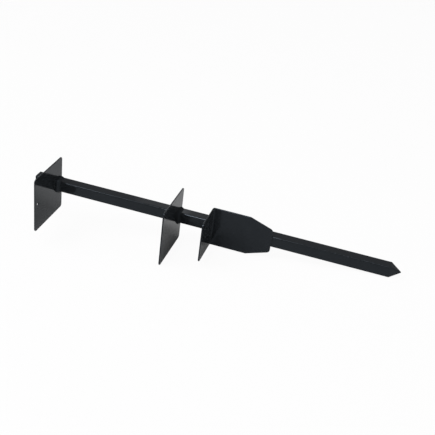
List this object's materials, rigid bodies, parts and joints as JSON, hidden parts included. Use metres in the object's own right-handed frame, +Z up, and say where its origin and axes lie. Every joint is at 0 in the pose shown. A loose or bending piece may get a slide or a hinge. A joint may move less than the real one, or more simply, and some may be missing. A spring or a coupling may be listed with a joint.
{
  "type": "ground stake",
  "caption": "Pointed square-tube ground stake with two notched square plates for a hollow post, and a folded fin bracket with a foot flange, welded and coated black.",
  "frame": {"origin": "on the floor, at the middle of the bottom of the whole stake's bounding box, as it lies at rest", "axes": "+X along the stake from its hammered end towards its point, level with the floor; +Y from the plates' front edges back towards the tube; +Z up. The tube slopes down to its point by 6.27 degrees about Y, because it rests on the middle plate's lower edge and on its own heel behind the point"},
  "size_m": [0.6133, 0.095, 0.1181],
  "materials": {
    "powder_coat": "semi-gloss black powder coat over steel",
    "coated_weld": "semi-gloss black powder coat over a weld bead"
  },
  "bodies": {
    "root": {"tube": "powder_coat", "drive_cap": "powder_coat", "top_plate": "powder_coat", "middle_plate": "powder_coat", "fin_bracket": "powder_coat", "top_plate_weld": "coated_weld", "middle_plate_weld": "coated_weld", "fin_weld_upper": "coated_weld", "fin_weld_lower": "coated_weld"}
  },
  "joints": []
}
